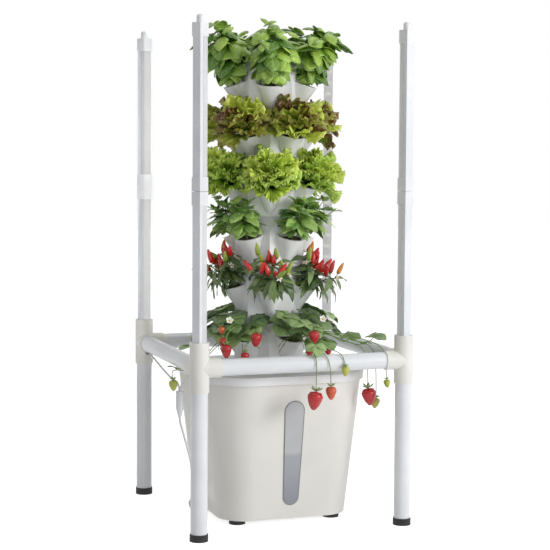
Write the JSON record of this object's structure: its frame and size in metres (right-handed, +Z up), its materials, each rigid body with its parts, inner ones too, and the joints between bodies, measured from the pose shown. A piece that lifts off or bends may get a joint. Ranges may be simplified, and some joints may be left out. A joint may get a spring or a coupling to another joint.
{
  "type": "hydroponic tower",
  "caption": "Planted pocket column on a tapered water tank with a level window, standing in a square pipe frame that carries aimable light poles at its corners.",
  "frame": {"origin": "on the floor, at the centre of the frame's four legs and on the column's axis", "axes": "+Z up, -Y towards the front with the level window, +X to the right"},
  "size_m": [0.56, 0.56, 1.213],
  "materials": {
    "pipe_white": "satin white pipe",
    "fitting_ivory": "satin ivory moulding",
    "black_rubber": "matt",
    "tank_cream": "satin cream moulding",
    "lid_white": "satin white moulding",
    "window_clear": "grey clear plastic",
    "seal_grey": "matt",
    "steel": "brushed",
    "pump_grey": "matt",
    "tube_grey": "matt",
    "column_white": "satin white moulding",
    "medium_brown": "coarse dark fibre",
    "bar_white": "white painted extrusion",
    "lens_clear": "frosted",
    "lamp_board": "white board with pale lamps",
    "cap_white": "satin white moulding",
    "cord_grey": "soft sheath",
    "basil": "leaf",
    "red_lettuce": "leaf",
    "green_lettuce": "leaf",
    "mint": "leaf",
    "chilli": "leaf",
    "strawberry": "leaf"
  },
  "bodies": {
    "frame": {"legs": "pipe_white", "leg_caps": "black_rubber", "rails": "pipe_white", "tee_fl": "fitting_ivory", "tee_fr": "fitting_ivory", "tee_bl": "fitting_ivory", "tee_br": "fitting_ivory", "tank": "tank_cream", "tank_window": "window_clear", "window_seal": "seal_grey", "tank_feet": "black_rubber", "lid": "lid_white", "flap_pin": "steel", "pump": "pump_grey", "riser": "tube_grey", "drip_head": "column_white", "collar": "column_white", "medium": "medium_brown", "lead_glands": "seal_grey", "lead_rear": "cord_grey", "lead_front": "cord_grey", "hub": "cap_white", "supply_cord": "cord_grey", "cord_coil": "cord_grey", "coil_tie": "black_rubber", "plug": "cap_white", "tier_1": "column_white", "tier_2": "column_white", "tier_3": "column_white", "tier_4": "column_white", "tier_5": "column_white", "tier_6": "column_white", "basil": "basil", "red_lettuce": "red_lettuce", "green_lettuce": "green_lettuce", "mint": "mint", "chilli": "chilli", "strawberry": "strawberry"},
    "light_fl": {"pole_fl_bars": "bar_white", "pole_fl_lenses": "lens_clear", "pole_fl_leds": "lamp_board", "pole_fl_caps": "cap_white"},
    "light_fr": {"pole_fr_bars": "bar_white", "pole_fr_lenses": "lens_clear", "pole_fr_leds": "lamp_board", "pole_fr_caps": "cap_white"},
    "light_bl": {"pole_bl_bars": "bar_white", "pole_bl_lenses": "lens_clear", "pole_bl_leds": "lamp_board", "pole_bl_caps": "cap_white"},
    "light_br": {"pole_br_bars": "bar_white", "pole_br_lenses": "lens_clear", "pole_br_leds": "lamp_board", "pole_br_caps": "cap_white"},
    "flap": {"fill_flap": "lid_white"},
    "rotor": {"impeller": "lid_white"},
    "cap": {"top_cap": "column_white"}
  },
  "joints": [
    {"name": "light_fl_aim", "type": "hinge", "parent": "frame", "child": "light_fl", "pos_m": [-0.257, -0.257, 0.43], "axis": [0, 0, 1], "range_deg": [-45, 45]},
    {"name": "light_fr_aim", "type": "hinge", "parent": "frame", "child": "light_fr", "pos_m": [0.257, -0.257, 0.43], "axis": [0, 0, 1], "range_deg": [-45, 45]},
    {"name": "light_bl_aim", "type": "hinge", "parent": "frame", "child": "light_bl", "pos_m": [-0.257, 0.257, 0.43], "axis": [0, 0, 1], "range_deg": [-45, 45]},
    {"name": "light_br_aim", "type": "hinge", "parent": "frame", "child": "light_br", "pos_m": [0.257, 0.257, 0.43], "axis": [0, 0, 1], "range_deg": [-45, 45]},
    {"name": "flap_hinge", "type": "hinge", "parent": "frame", "child": "flap", "pos_m": [0.128, 0.151, 0.37], "axis": [-1, 0, 0], "range_deg": [0, 105]},
    {"name": "rotor_spin", "type": "hinge", "parent": "frame", "child": "rotor", "pos_m": [0, 0, 0.03], "axis": [0, 0, 1], "continuous": true},
    {"name": "cap_lift", "type": "slide", "parent": "frame", "child": "cap", "axis": [0, 0, 1], "range_m": [0, 0.06]}
  ]
}
